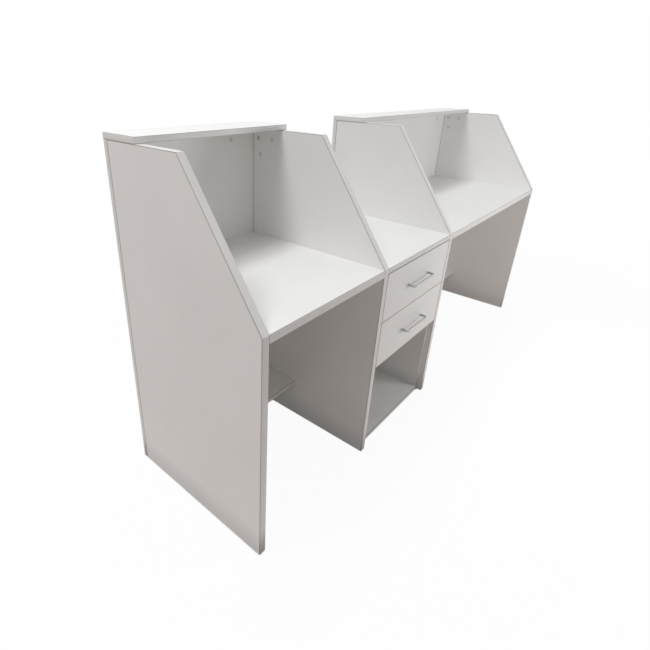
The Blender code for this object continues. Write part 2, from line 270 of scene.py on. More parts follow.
def sheet_finish(name, low, high, cloud_mm, relief_mm, relief_depth_mm, rough, smear_mm, ior, foot=None):
    """A smooth pale sheet: a slow drift of tone, a fine pressed relief and handling smears in its sheen.

    low and high are its darkest and lightest tones, and rough its least and most roughness. foot is its
    darker tone of painted shade along the floor, if it has one.
    """
    material, tree, output = new_material(name)
    place = add_node(tree, "TexCoord", {}, {}).outputs["Object"]
    cloud = add_node(
        tree, "TexNoise", {"Scale": per_metre(cloud_mm), "Detail": 4.0, "Roughness": 0.55}, {"Vector": place}
    )
    stops = list(zip(SHEET_RANGE, (low, high)))
    unshaded = add_node(tree, "ValToRGB", {"stops": stops}, {"Fac": cloud.outputs["Fac"]})
    tone = unshaded.outputs["Color"]
    # Painted shade along the floor, where a foot tone is given
    if foot:
        tone = painted_foot_shade(tree, place, tone, foot)
    smear = add_node(
        tree, "TexNoise", {"Scale": per_metre(smear_mm), "Detail": 3.0, "Distortion": 0.6}, {"Vector": place}
    )
    sheen = add_node(
        tree, "MapRange",
        {"From Min": SHEET_RANGE[0], "From Max": SHEET_RANGE[1], "To Min": rough[0], "To Max": rough[1]},
        {"Value": smear.outputs["Fac"]},
    )
    pearl = add_node(tree, "TexNoise", {"Scale": per_metre(relief_mm), "Detail": 1.0}, {"Vector": place})
    relief = add_node(
        tree, "Bump", {"Strength": 1.0, "Distance": relief_depth_mm * MM}, {"Height": pearl.outputs["Fac"]}
    )
    surface = add_node(
        tree, "BsdfPrincipled", {"IOR": ior},
        {"Base Color": tone, "Roughness": sheen.outputs["Result"], "Normal": relief.outputs["Normal"]},
    )
    tree.links.new(surface.outputs["BSDF"], output.inputs["Surface"])
    return material


def pressed_wood(name, tones, flake_mm, stretch, depth_mm, rough, ior):
    """Glued wood particles: cells of unlike browns, each with its own level, and fine dust between them."""
    material, tree, output = new_material(name)
    place = add_node(tree, "TexCoord", {}, {})
    drawn = add_node(tree, "Mapping", {"Scale": stretch}, {"Vector": place.outputs["Object"]})
    flake = add_node(tree, "TexVoronoi", {"Scale": per_metre(flake_mm)}, {"Vector": drawn.outputs["Vector"]})
    dust = add_node(
        tree, "TexNoise", {"Scale": per_metre(flake_mm / DUST_ACROSS), "Detail": 3.0},
        {"Vector": drawn.outputs["Vector"]},
    )
    shade = add_node(tree, "SeparateColor", {}, {"Color": flake.outputs["Color"]})
    mixed = add_node(
        tree, "Mix", {"data_type": "FLOAT", 0: DUST_SHARE}, {2: shade.outputs["Red"], 3: dust.outputs["Fac"]}
    )
    stops = list(zip(WOOD_PLACES, tones))
    tone = add_node(tree, "ValToRGB", {"stops": stops}, {"Fac": mixed.outputs[0]})
    torn = add_node(
        tree, "MapRange", {"To Min": rough[0], "To Max": rough[1]}, {"Value": dust.outputs["Fac"]}
    )
    relief = add_node(
        tree, "Bump", {"Strength": 1.0, "Distance": depth_mm * MM}, {"Height": flake.outputs["Distance"]}
    )
    surface = add_node(
        tree, "BsdfPrincipled", {"IOR": ior},
        {
            "Base Color": tone.outputs["Color"],
            "Roughness": torn.outputs["Result"],
            "Normal": relief.outputs["Normal"],
        },
    )
    tree.links.new(surface.outputs["BSDF"], output.inputs["Surface"])
    return material


def worked_metal(name, low, high, line_mm, stretch, depth_mm, rough, spot_mm):
    """A metal with the marks of its working in tone, sheen and relief, over a slow cloud.

    The marks are lines or grains of one size, drawn out along an axis by stretch. Plating or tumbling leaves
    the cloud.
    """
    material, tree, output = new_material(name)
    place = add_node(tree, "TexCoord", {}, {})
    drawn = add_node(tree, "Mapping", {"Scale": stretch}, {"Vector": place.outputs["Object"]})
    lines = add_node(
        tree, "TexNoise", {"Scale": per_metre(line_mm), "Detail": 3.0, "Roughness": 0.6},
        {"Vector": drawn.outputs["Vector"]},
    )
    cloud = add_node(
        tree, "TexNoise", {"Scale": per_metre(spot_mm), "Detail": 2.0}, {"Vector": place.outputs["Object"]}
    )
    mixed = add_node(
        tree, "Mix", {"data_type": "FLOAT", 0: CLOUD_SHARE},
        {2: lines.outputs["Fac"], 3: cloud.outputs["Fac"]},
    )
    stops = list(zip(METAL_RANGE, (low, high)))
    tone = add_node(tree, "ValToRGB", {"stops": stops}, {"Fac": mixed.outputs[0]})
    polish = add_node(
        tree, "MapRange",
        {"From Min": METAL_RANGE[0], "From Max": METAL_RANGE[1], "To Min": rough[0], "To Max": rough[1]},
        {"Value": mixed.outputs[0]},
    )
    relief = add_node(
        tree, "Bump", {"Strength": 1.0, "Distance": depth_mm * MM}, {"Height": lines.outputs["Fac"]}
    )
    surface = add_node(
        tree, "BsdfPrincipled", {"Metallic": 1.0},
        {
            "Base Color": tone.outputs["Color"],
            "Roughness": polish.outputs["Result"],
            "Normal": relief.outputs["Normal"],
        },
    )
    tree.links.new(surface.outputs["BSDF"], output.inputs["Surface"])
    return material


# Melamine-faced chipboard, pressed against a pearl-textured plate: a clean white with a soft satin sheen,
# broken by faint cloudy smears left by handling. The pearl grains are 0.8 mm; they are drawn at 2 mm to show.
PEARL_WHITE = ("#EDECEA", "#F1F0EE", 260, 2.0, 0.03, (0.36, 0.46), 120, 1.5)
MELAMINE = sheet_finish("melamine_faced_chipboard_pearl_pressed", *PEARL_WHITE)
# The same board where it stands on the floor, with painted shade that greys it towards its foot
FOOT_SHADED_MELAMINE = sheet_finish("melamine_faced_chipboard_pearl_pressed_foot_shaded", *PEARL_WHITE, "#DCDBD9")
# The drawer boxes' thinner board has a duller, slightly greyer paper.
# Its grains of 0.5 mm are drawn at 1.5 mm to show.
DRAWER_MELAMINE = sheet_finish(
    "melamine_faced_chipboard_matt_pressed", "#E8E7E4", "#ECEBE8", 180, 1.5, 0.02, (0.46, 0.56), 90, 1.5
)
# ABS edge band, extruded and embossed: a shade greyer than the face and a little smoother.
# The embossed grains of 0.4 mm are drawn at 1.2 mm to show.
# Its last tone is painted shade that darkens the band towards the floor
EDGE_BAND = sheet_finish(
    "abs_edge_band_extruded", "#E3E2E0", "#E8E7E5", 90, 1.2, 0.015, (0.32, 0.40), 60, 1.53, "#9C9792"
)
# The band's arris after scraping and buffing: the cut plastic is duller and greyer, and holds dust
# Its last tone is painted shade that darkens the arris towards the floor
ARRIS = sheet_finish(
    "abs_edge_band_scraped_arris", "#B2B0AD", "#C0BEBB", 40, 0.8, 0.02, (0.5, 0.62), 30, 1.53, "#8E8A86"
)
# Hot-melt glue squeezed out along the band: a darker, matt seam
# Its last tone is painted shade that darkens the seam towards the floor
GLUE = sheet_finish(
    "hot_melt_glue_pressed_seam", "#ACA8A3", "#B8B4AF", 30, 0.8, 0.02, (0.6, 0.7), 30, 1.5, "#7C7873"
)
# Hardboard, pressed fibre lacquered white on one side: flat white with a slight orange peel
HARDBOARD_WHITE = sheet_finish(
    "hardboard_lacquered_white", "#DAD8D4", "#E1DFDB", 60, 1.5, 0.03, (0.5, 0.62), 50, 1.48
)
# Acetal, injection moulded: the ball cages' milky, slightly waxy plastic
ACETAL = sheet_finish("acetal_moulded", "#C9C8C2", "#D6D5CF", 10, 0.6, 0.01, (0.34, 0.44), 8, 1.48)
# Chipboard, sawn and bored: tan, cream and brown wood flakes a few millimetres across
CHIPBOARD = pressed_wood(
    "chipboard_sawn", ("#8A6639", "#B8935F", "#D9C197"), 3.0, (1, 1, 1.6), 0.25, (0.75, 0.9), 1.45
)
# Hardboard's bare side: dark brown matted fibres, printed by the press's wire screen
HARDBOARD_RAW = pressed_wood(
    "hardboard_pressed_fibre", ("#5C422B", "#6B4C31", "#7A5939"), 2.0, (1, 0.4, 1), 0.12, (0.7, 0.85), 1.45
)
# Cold-rolled steel, zinc plated: a cool light grey metal with faint rolling lines along the slide.
# The lines are 0.2 mm apart; they are drawn 1.5 mm apart to show.
SLIDE_STEEL = worked_metal(
    "steel_rolled_zinc_plated", "#B4B8BC", "#C6CACD", 1.5, (1, 0.04, 1), 0.012, (0.30, 0.42), 14
)
# Nickel plate over a brushed bar: a neutral grey metal, satin, with brush lines along its length.
# The lines are 0.1 mm apart; they are drawn 0.8 mm apart to show.
SATIN_NICKEL = worked_metal(
    "nickel_plated_brushed_bar", "#A6A5A3", "#B8B7B5", 0.8, (0.05, 1, 1), 0.01, (0.46, 0.56), 25
)
# Zinc, die-cast and tumbled: a dull pale grey metal with a grainy skin
CAST_ZINC = worked_metal(
    "zinc_die_cast_tumbled", "#D2D3D4", "#E4E5E6", 0.6, (1, 1, 1), 0.04, (0.55, 0.70), 3.0
)
# Steel screws, cold headed and zinc plated: a bright cool grey metal with a fine uneven skin
SCREW_STEEL = worked_metal(
    "steel_screw_zinc_plated", "#B0B2B4", "#C4C6C8", 0.4, (1, 1, 1), 0.01, (0.28, 0.38), 2.0
)
# Chrome steel balls, ground and polished: a bright grey metal, almost a mirror
BALL_STEEL = worked_metal(
    "steel_balls_ground", "#BDBFC1", "#CBCDCF", 0.3, (1, 1, 1), 0.002, (0.12, 0.18), 2.0
)

# A board's finishes, and their places in each set
BOARD_FINISHES = (MELAMINE, EDGE_BAND, ARRIS, GLUE, CHIPBOARD)
# The standing boards' set, whose face carries painted shade along the floor
STANDING_FINISHES = (FOOT_SHADED_MELAMINE, EDGE_BAND, ARRIS, GLUE, CHIPBOARD)
DRAWER_FINISHES = (DRAWER_MELAMINE, EDGE_BAND, ARRIS, GLUE, CHIPBOARD)
FACE, BAND, SCRAPED, SEAM, SAWN = range(5)
# A drawer bottom's finishes, and their places
SHEET_FINISHES = (HARDBOARD_WHITE, HARDBOARD_RAW)
WHITE_SIDE, RAW_SIDE = range(2)

NODE_BODY = {node: body for body, nodes in frame["record"]["behaviour"]["bodies"].items() for node in nodes}


def new_object(name, mesh, finishes):
    """An object for a finished mesh, in the scene, with its finishes in slot order."""
    if not mesh.materials:
        for finish in finishes:
            mesh.materials.append(finish)
    obj = bpy.data.objects.new(name, mesh)
    bpy.context.scene.collection.objects.link(obj)
    return obj


def crisp(mesh):
    """Shades the round stretches of a mesh smooth and leaves its corners crisp."""
    mesh.shade_smooth()
    mesh.set_sharp_from_angle(angle=radians(CRISP_ANGLE))
    return mesh


def to_mesh(name, shape):
    """Ends a bmesh: normals outwards, shaded by its corners."""
    bmesh.ops.recalc_face_normals(shape, faces=shape.faces[:])
    mesh = bpy.data.meshes.new(name)
    shape.to_mesh(mesh)
    shape.free()
    return crisp(mesh)


def stand_for(piece, node):
    """Makes a piece stand for a solid of the frame, on that solid's body."""
    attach(piece, NODE_BODY[node])
    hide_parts(node)


def add_fitting(name, mesh, finishes, matrix, body):
    """A small piece of the scene's own, placed by a matrix and carried by a body."""
    piece = new_object(name, mesh, finishes)
    piece.matrix_world = matrix
    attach(piece, body)


def carve(mesh, finishes, cutters):
    """Cuts closed meshes out of a mesh; a cut face keeps its cutter's finish."""
    host = new_object("carve_host", mesh, finishes)
    tools = [new_object("carve_tool", cutter, finishes) for cutter in cutters]
    for tool in tools:
        cut = host.modifiers.new("cut", "BOOLEAN")
        cut.object = tool
        cut.operation = "DIFFERENCE"
        cut.solver = "EXACT"
    carved = bpy.data.meshes.new_from_object(host.evaluated_get(bpy.context.evaluated_depsgraph_get()))
    for used in (host, *tools):
        bpy.data.objects.remove(used, do_unlink=True)
    return crisp(carved)


def turned(name, profile, steps, finish_index=0, matrix=None):
    """A closed turned body: profile is (radius, height) from the axis at one end to the axis at the other."""
    shape = bmesh.new()
    rings = []
    for radius, height in profile:
        count = steps if radius > 0 else 1
        rings.append([
            shape.verts.new((radius * cos(tau * k / steps), radius * sin(tau * k / steps), height))
            for k in range(count)
        ])
    for ring, following in zip(rings, rings[1:]):
        for k in range(steps):
            corners = [ring[k % len(ring)], ring[(k + 1) % len(ring)]]
            corners += [following[(k + 1) % len(following)], following[k % len(following)]]
            face = shape.faces.new(list(dict.fromkeys(corners)))
            face.material_index = finish_index
    if matrix:
        bmesh.ops.transform(shape, matrix=matrix, verts=shape.verts[:])
    return to_mesh(name, shape)


def block(name, size, centre, finish_index=0):
    """A closed block, to cut a recess with or to be cut itself."""
    shape = bmesh.new()
    place = Matrix.Translation(centre) @ Matrix.Diagonal((*size, 1.0))
    bmesh.ops.create_cube(shape, size=1.0, matrix=place)
    for face in shape.faces:
        face.material_index = finish_index
    return to_mesh(name, shape)


def cross_cutter(span, width, depth):
    """Cuts a driver's cross recess into a face at height 0: four arms, drawn in towards the bottom."""
    arm, half = span / 2, width / 2
    outline = []
    for k in range(4):
        quarter = Matrix.Rotation(k * pi / 2, 2)
        outline += [quarter @ Vector(point) for point in ((arm, -half), (arm, half), (half, half))]
    shape = bmesh.new()
    rings = [
        [shape.verts.new((p.x * share, p.y * share, height)) for p in outline]
        for share, height in ((CROSS_TAPER, -depth), (1.0, CUT_CLEAR))
    ]
    for k in range(len(outline)):
        shape.faces.new((rings[0][k - 1], rings[0][k], rings[1][k], rings[1][k - 1]))
    for ring in rings:
        shape.faces.new(ring)
    return to_mesh("cross", shape)


def turn_to(direction):
    """The turn that takes +Z to a direction."""
    return Vector((0, 0, 1)).rotation_difference(Vector(direction)).to_matrix().to_4x4()


# Edge-banded boards


def spot(thin, flat, height):
    """A point of a board: flat is its place in the board's plane, height its place along the thickness."""
    point = Vector()
    point[thin], point[(thin + 1) % 3], point[(thin + 2) % 3] = height, flat.x, flat.y
    return point


def inset_corner(outline, insets, k):
    """Corner k of a convex outline, after each edge has moved inwards by its own inset."""
    before, here, after = outline[k - 1], outline[k], outline[(k + 1) % len(outline)]
    into_last = Vector((before.y - here.y, here.x - before.x)).normalized()
    into_next = Vector((here.y - after.y, after.x - here.x)).normalized()
    last, following = insets[k - 1], insets[k]
    spread = into_last.x * into_next.y - into_last.y * into_next.x
    return here + Vector((
        (last * into_next.y - following * into_last.y) / spread,
        (following * into_last.x - last * into_next.x) / spread,
    ))


def band_profile(half, band):
    """A band's section as (inset, height, finish of the face that follows), round at both arrises."""
    thickness, radius, _ = band
    arris = SCRAPED if band is THICK_BAND else BAND
    arc = [pi / 2 * step / ARRIS_STEPS for step in range(ARRIS_STEPS + 1)]
    upper = [(radius * (1 - sin(turn)), half - radius * (1 - cos(turn)), arris) for turn in arc]
    lower = [(inset, -height, arris) for inset, height, _ in reversed(upper)]
    upper[-1] = (*upper[-1][:2], BAND)
    return [(thickness, half, arris), *upper, *lower, (thickness, -half, BAND)]


def seam_profile(half, band):
    """The glue line behind a band, sunk a little below the face."""
    thickness, _, glue = band
    near, far, high = thickness, thickness + glue, half - GLUE_SINK
    return [(far, high, SEAM), (near, high, SEAM), (near, -high, SEAM), (far, -high, SEAM)]


def strip_along(shape, thin, middle, outline, banded, k, profile):
    """A strip of constant section along edge k, mitred and left open where the next edge has one too."""
    ends = []
    for corner, neighbour in ((k, (k - 1) % len(outline)), ((k + 1) % len(outline), (k + 1) % len(outline))):
        ring = []
        for inset, height, _ in profile:
            insets = [0.0] * len(outline)
            insets[k] = inset
            insets[neighbour] = inset if neighbour in banded else 0.0
            ring.append(shape.verts.new(spot(thin, inset_corner(outline, insets, corner), middle + height)))
        ends.append(ring)
        if neighbour not in banded:
            shape.faces.new(ring).material_index = profile[1][2]
    start, end = ends
    for j, (_, _, finish_index) in enumerate(profile):
        following = (j + 1) % len(profile)
        face = shape.faces.new((start[j], end[j], end[following], start[following]))
        face.material_index = finish_index


def board_core(thin, middle, half, outline, banded, band):
    """The chipboard slab inside the bands: melamine on both faces, sawn round its rim."""
    thickness, _, glue = band
    insets = [thickness + glue if k in banded else 0.0 for k in range(len(outline))]
    corners = [inset_corner(outline, insets, k) for k in range(len(outline))]
    shape = bmesh.new()
    lower = [shape.verts.new(spot(thin, corner, middle - half)) for corner in corners]
    upper = [shape.verts.new(spot(thin, corner, middle + half)) for corner in corners]
    for ring in (lower, upper):
        shape.faces.new(ring).material_index = FACE
    for k in range(len(corners)):
        following = (k + 1) % len(corners)
        shape.faces.new((lower[k], lower[following], upper[following], upper[k])).material_index = SAWN
    return to_mesh("core", shape)


def bore_cutter(mouth, outward):
    """A blind bore for a cam, open at its mouth."""
    radius, length = CAM_RADIUS + CAM_CLEARANCE, CAM_LENGTH + CAM_CLEARANCE
    profile = [(0, CAM_CLEARANCE), (radius, CAM_CLEARANCE), (radius, -length), (0, -length)]
    return turned("bore", profile, CAM_STEPS, SAWN, Matrix.Translation(mouth) @ turn_to(outward))


def board(
    node, bands, bores=(), outline=None, band=THICK_BAND, finishes=BOARD_FINISHES,
    grooves=(),
):
    """Stands for a board of the frame with a slab, its glue lines and its edge bands.

    bands names the banded edges by the way they face, or by their number in a given outline.
    """
    low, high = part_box(node)
    size = high - low
    thin = min(range(3), key=lambda axis: size[axis])
    across, along = (thin + 1) % 3, (thin + 2) % 3
    if outline is None:
        corners = ((low, low), (high, low), (high, high), (low, high))
        outline = [Vector((a[across], b[along])) for a, b in corners]
        facing = ["-" + "xyz"[along], "+" + "xyz"[across], "+" + "xyz"[along], "-" + "xyz"[across]]
        bands = [facing.index(name) for name in bands]
    middle, half = (low[thin] + high[thin]) / 2, size[thin] / 2
    core = board_core(thin, middle, half, outline, bands, band)
    cutters = [bore_cutter(*bore) for bore in bores] + list(grooves)
    if cutters:
        core = carve(core, finishes, cutters)
    shape = bmesh.new()
    shape.from_mesh(core)
    core_points = len(shape.verts)
    for k in bands:
        strip_along(shape, thin, middle, outline, bands, k, seam_profile(half, band))
        strip_along(shape, thin, middle, outline, bands, k, band_profile(half, band))
    bmesh.ops.remove_doubles(shape, verts=list(shape.verts)[core_points:], dist=WELD)
    piece = new_object(node + "_banded", to_mesh(node + "_banded", shape), finishes)
    stand_for(piece, node)


# Cam locks


def make_cam_mesh():
    """A cam's body with a ringed face and a cross recess for the driver, its mouth at height 0."""
    profile = [
        (0, 0), *CAM_GROOVE, (CAM_RADIUS - CAM_CHAMFER, 0), (CAM_RADIUS, -CAM_CHAMFER),
        (CAM_RADIUS, -CAM_LENGTH), (0, -CAM_LENGTH),
    ]
    recesses = [
        cross_cutter(CROSS_SPAN, CROSS_WIDTH, CROSS_DEPTH),
        block("start_mark", START_MARK_SIZE, (START_MARK_RADIUS, 0, 0)),
    ]
    return carve(turned("cam", profile, CAM_STEPS), (CAST_ZINC,), recesses)


CAM_MESH = make_cam_mesh()


def cam_mouth(node, outward):
    """Where a cam of the frame comes to its board's face."""
    low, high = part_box(node)
    centre = (low + high) / 2
    axis = max(range(3), key=lambda k: abs(outward[k]))
    centre[axis] = high[axis] if outward[axis] > 0 else low[axis]
    return centre


def seat_cam(node, outward, quarter):
    """Stands for a cam of the frame, turned by a share of a quarter; gives back its bore."""
    mouth = cam_mouth(node, outward)
    piece = new_object(node + "_cast", CAM_MESH, (CAST_ZINC,))
    turn = Matrix.Rotation(quarter * pi / 2, 4, "Z")
    piece.matrix_world = Matrix.Translation(mouth) @ turn_to(outward) @ turn
    stand_for(piece, node)
    return mouth, outward


def hidden_cams(name, points, outward):
    """Cams under tops and ledges, each turned its own way, which the solids leave out; gives their bores."""
    for count, point in enumerate(points, 1):
        matrix = Matrix.Translation(point) @ turn_to(outward) @ Matrix.Rotation(count, 4, "Z")
        add_fitting(f"{name}_under_cam_{count}", CAM_MESH, (CAST_ZINC,), matrix, "root")
    return [(point, outward) for point in points]


def underside_points(node):
    """The four places under a board, near its ends, where cams draw it to its neighbours."""
    low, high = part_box(node)
    xs = (low.x + HIDDEN_CAM_INSET, high.x - HIDDEN_CAM_INSET)
    ys = (low.y + HIDDEN_CAM_MARGIN, high.y - HIDDEN_CAM_MARGIN)
    return [Vector((x, y, low.z)) for x in xs for y in ys]


# Boards of the two stations and the pedestal

DESK_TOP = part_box("left_desktop")[1].z


def side_panel(name, outward_x):
    """A side panel with its sloping edge and its three cams."""
    node = name + "_panel"
    low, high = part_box(node)
    outline = [
        Vector((low.y, low.z)), Vector((high.y, low.z)), Vector((high.y, high.z)),
        Vector((low.y + SLOPE_RUN, high.z)), Vector((low.y, DESK_TOP)),
    ]
    rear, top, slope, front = 1, 2, 3, 4
    cams = [name + "_shelf_cam_near", name + "_shelf_cam_far", name + "_front_panel_cam"]
    bores = [seat_cam(cam, (outward_x, 0, 0), quarter) for cam, quarter in zip(cams, SIDE_CAM_TURNS)]
    board(node, [rear, top, slope, front], bores, outline, finishes=STANDING_FINISHES)


for panel, outward_x in (("left_end", 1), ("left_divider", -1), ("right_divider", 1), ("right_end", -1)):
    side_panel(panel, outward_x)

for side in ("left", "right"):
    shelf_cams = [f"{side}_front_shelf_cam_{end}" for end in ("left", "right")]
    bores = [seat_cam(cam, (0, -1, 0), FRONT_CAM_TURN) for cam in shelf_cams]
    board(side + "_front_panel", ["-x", "+x"], bores, finishes=STANDING_FINISHES)
    board(side + "_counter_shelf", ["-x", "+x", "-y", "+y"])
    for level in ("_desktop", "_foot_ledge"):
        under = hidden_cams(side + level, underside_points(side + level), (0, 0, -1))
        board(side + level, ["-y"], under)
    board(side + "_ledge_riser", ["-z"], finishes=STANDING_FINISHES)

board("middle_front_panel", ["-x", "+x"], finishes=STANDING_FINISHES)
board("middle_top", ["-y", "+y"])
for name in ("pedestal_left_side", "pedestal_right_side"):
    board(name, ["-y"], band=THIN_BAND, finishes=STANDING_FINISHES)
for name in ("pedestal_bottom", "pedestal_shelf"):
    board(name, ["-y"], band=THIN_BAND)


# Drawers


def bow_handle(node):
    """A round bar bent at both ends, its feet chamfered, along the same line as the frame's handle."""
    low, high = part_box(node)
    middle_x, z = (low.x + high.x) / 2, (low.z + high.z) / 2
    half, bar_y, foot_y = HANDLE_SPACING / 2, low.y + BAR_RADIUS, high.y
    arc = [pi / 2 * step / BEND_STEPS for step in range(BEND_STEPS + 1)]
    left = [(-half, foot_y, 0.0, BAR_RADIUS - FOOT_CHAMFER), (-half, foot_y - FOOT_CHAMFER, 0.0, BAR_RADIUS)]
    left += [
        (-half + BEND_RADIUS * (1 - cos(turn)), bar_y + BEND_RADIUS * (1 - sin(turn)), turn, BAR_RADIUS)
        for turn in arc
    ]
    right = [(-x, y, pi - turn, radius) for x, y, turn, radius in reversed(left)]
    around = [tau * k / BAR_SIDES for k in range(BAR_SIDES)]
    upward = Vector((0, 0, 1))
    shape = bmesh.new()
    rings = []
    for x, y, turn, radius in left + right:
        across = Vector((cos(turn), sin(turn), 0))
        centre = Vector((middle_x + x, y, z))
        rings.append([
            shape.verts.new(centre + across * radius * cos(angle) + upward * radius * sin(angle))
            for angle in around
        ])
    for ring, following in zip(rings, rings[1:]):
        for k in range(BAR_SIDES):
            shape.faces.new((ring[k], ring[k - 1], following[k - 1], following[k]))
    shape.faces.new(rings[0])
    shape.faces.new(rings[-1])
    piece = new_object(node + "_bar", to_mesh(node + "_bar", shape), (SATIN_NICKEL,))
    stand_for(piece, node)


def make_screw_mesh():
    """A low round screw head with a cross recess, standing on height 0."""
    top = [(across * HEAD_RADIUS, up * HEAD_HEIGHT) for across, up in HEAD_ROUND]
    profile = [(0, HEAD_HEIGHT), *top, (HEAD_RADIUS, 0), (0, 0)]
    cross = cross_cutter(HEAD_CROSS_SPAN, HEAD_CROSS_WIDTH, HEAD_CROSS_DEPTH)
    cross.transform(Matrix.Translation((0, 0, HEAD_HEIGHT)))
    return carve(turned("screw", profile, HEAD_STEPS), (SCREW_STEEL,), [cross])


SCREW_MESH = make_screw_mesh()


def screw(name, place, outward, body):
    """A screw whose head stands on a face, carried by a body."""
    matrix = Matrix.Translation(place) @ turn_to(outward) @ Matrix.Rotation(HEAD_TURN, 4, "Z")
    add_fitting(name, SCREW_MESH, (SCREW_STEEL,), matrix, body)


def hardboard_bottom(node):
    """The drawer's thin bottom, its rim eased: white above, bare fibre below and round its rim."""
    low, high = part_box(node)
    levels = (
        (low.z, SHEET_EASE), (low.z + SHEET_EASE, 0), (high.z - SHEET_EASE, 0), (high.z, SHEET_EASE),
    )
    shape = bmesh.new()
    rings = []
    for z, inset in levels:
        near, far = low + Vector((inset, inset, 0)), high - Vector((inset, inset, 0))
        corners = ((near.x, near.y), (far.x, near.y), (far.x, far.y), (near.x, far.y))
        rings.append([shape.verts.new((x, y, z)) for x, y in corners])
    for ring, following in zip(rings, rings[1:]):
        for k in range(4):
            rim = shape.faces.new((ring[k - 1], ring[k], following[k], following[k - 1]))
            rim.material_index = RAW_SIDE
    shape.faces.new(rings[0]).material_index = RAW_SIDE
    shape.faces.new(rings[-1]).material_index = WHITE_SIDE
    piece = new_object(node + "_sheet", to_mesh(node + "_sheet", shape), SHEET_FINISHES)
    stand_for(piece, node)


def groove_cutter(name):
    """The groove that the bottom lies in, a little wider than the sheet."""
    low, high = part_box(name + "_drawer_bottom")
    slack = Vector((GROOVE_SLACK,) * 3)
    return block("groove", high - low + 2 * slack, (low + high) / 2, SAWN)


def drawer(name):
    """One drawer: its front and box, its bottom in a groove, its handle and the handle's screws."""
    body = name + "_drawer"
    board(name + "_drawer_front", ["-x", "+x", "-z", "+z"], band=THIN_BAND, grooves=[groove_cutter(name)])
    for part in ("left_side", "right_side"):
        board(
            f"{name}_drawer_{part}", ["+z"], band=THIN_BAND, finishes=DRAWER_FINISHES,
            grooves=[groove_cutter(name)],
        )
    board(name + "_drawer_back", ["+z"], band=THIN_BAND, finishes=DRAWER_FINISHES)
    hardboard_bottom(name + "_drawer_bottom")
    bow_handle(name + "_handle")

    # The handle's screws come through the front and show inside the drawer
    low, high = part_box(name + "_handle")
    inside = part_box(name + "_drawer_front")[1].y
    for end, offset in (("left", -HANDLE_SPACING / 2), ("right", HANDLE_SPACING / 2)):
        place = ((low.x + high.x) / 2 + offset, inside, (low.z + high.z) / 2)
        screw(f"{name}_handle_screw_{end}", place, (0, 1, 0), body)


for name in ("upper", "lower"):
    drawer(name)


# Drawer slides


def rounded(points, radius, steps=4):
    """An open line whose inner corners are turned into arcs."""
    line = [Vector(points[0])]
    for before, corner, after in zip(points, points[1:], points[2:]):
        before, corner, after = Vector(before), Vector(corner), Vector(after)
        back, onward = (before - corner).normalized(), (after - corner).normalized()
        centre = corner + (back + onward) * radius
        for step in range(steps + 1):
            turn = pi / 2 * step / steps
            line.append(centre - onward * radius * cos(turn) - back * radius * sin(turn))
    return [*line, Vector(points[-1])]


def slide_place(node):
    """A slide member's place: the x of its wall, the way inwards, its middle height and its ends along Y."""
    low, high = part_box(node)
    side = node.rsplit("_", 1)[1]
    wall_low, wall_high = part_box(f"pedestal_{side}_side")
    wall, inward = (wall_high.x, 1) if side == "left" else (wall_low.x, -1)
    return wall, inward, (low.z + high.z) / 2, low.y, high.y


def rolled_section(node, points, radius):
    """A sheet-steel member of constant section along Y; points give its middle line as (u, z)."""
    wall, inward, z_middle, near, far = slide_place(node)
    line = rounded(points, radius)
    sides = ([], [])
    for k, point in enumerate(line):
        before, after = line[max(k - 1, 0)], line[min(k + 1, len(line) - 1)]
        along = (after - before).normalized()
        normal = Vector((-along.y, along.x)) * SHEET_T / 2
        sides[0].append(point + normal)
        sides[1].append(point - normal)
    section = sides[0] + sides[1][::-1]
    shape = bmesh.new()
    ends = [
        [shape.verts.new((wall + inward * p.x, y, z_middle + p.y)) for p in section] for y in (near, far)
    ]
    count = len(section)
    for k in range(count):
        following = (k + 1) % count
        shape.faces.new((ends[0][k], ends[0][following], ends[1][following], ends[1][k]))
    half = len(line)
    for ring in ends:
        for k in range(half - 1):
            shape.faces.new((ring[k], ring[k + 1], ring[count - 2 - k], ring[count - 1 - k]))
    return to_mesh(node + "_rolled", shape)


def member_section(web, flange, reach, lip):
    """A member's middle line: a web, a flange above and below, and a lip at the end of each if any."""
    upper = [(web, flange), (reach, flange)] + ([(reach, flange - lip)] if lip else [])
    lower = [(u, -z) for u, z in reversed(upper)]
    return lower + upper


def hole_cutter(radius, matrix):
    """Cuts a hole right through a sheet."""
    profile = [(0, HOLE_REACH), (radius, HOLE_REACH), (radius, -HOLE_REACH), (0, -HOLE_REACH)]
    return turned("hole", profile, HOLE_STEPS, 0, matrix)


def member_holes(node, web):
    """Cutters for the punched screw holes along a member's web."""
    wall, inward, z_middle, near, far = slide_place(node)
    cutters = []
    for share in HOLE_SHARES:
        centre = (wall + inward * web, near + (far - near) * share, z_middle)
        cutters.append(hole_cutter(HOLE_RADIUS, Matrix.Translation(centre) @ turn_to((1, 0, 0))))
    return cutters


BALL_PLACES = [Matrix.Translation((0, BALL_PITCH * (k + 0.5), 0)) for k in range(BALL_COUNT)]


def make_cage_mesh():
    """A strip with a row of holes for the balls, lying flat about its own start."""
    length = BALL_PITCH * BALL_COUNT
    holes = [hole_cutter(BALL_RADIUS + BALL_PLAY, place) for place in BALL_PLACES]
    strip = block("cage", (CAGE_WIDTH, length, CAGE_T), (0, length / 2, 0))
    return carve(strip, (ACETAL,), holes)


def make_ball_row():
    """The balls of one cage, in one mesh."""
    shape = bmesh.new()
    for place in BALL_PLACES:
        bmesh.ops.create_icosphere(shape, subdivisions=BALL_FACETS, radius=BALL_RADIUS, matrix=place)
    return to_mesh("balls", shape)


CAGE_MESH = make_cage_mesh()
BALL_MESH = make_ball_row()
MEMBERS = {
    "outer": (OUTER_WEB, OUTER_FLANGE, OUTER_REACH, OUTER_LIP),
    "middle": (MIDDLE_WEB, MIDDLE_FLANGE, MIDDLE_REACH, 0.0),
    "inner": (INNER_WEB, INNER_FLANGE, INNER_REACH, 0.0),
}


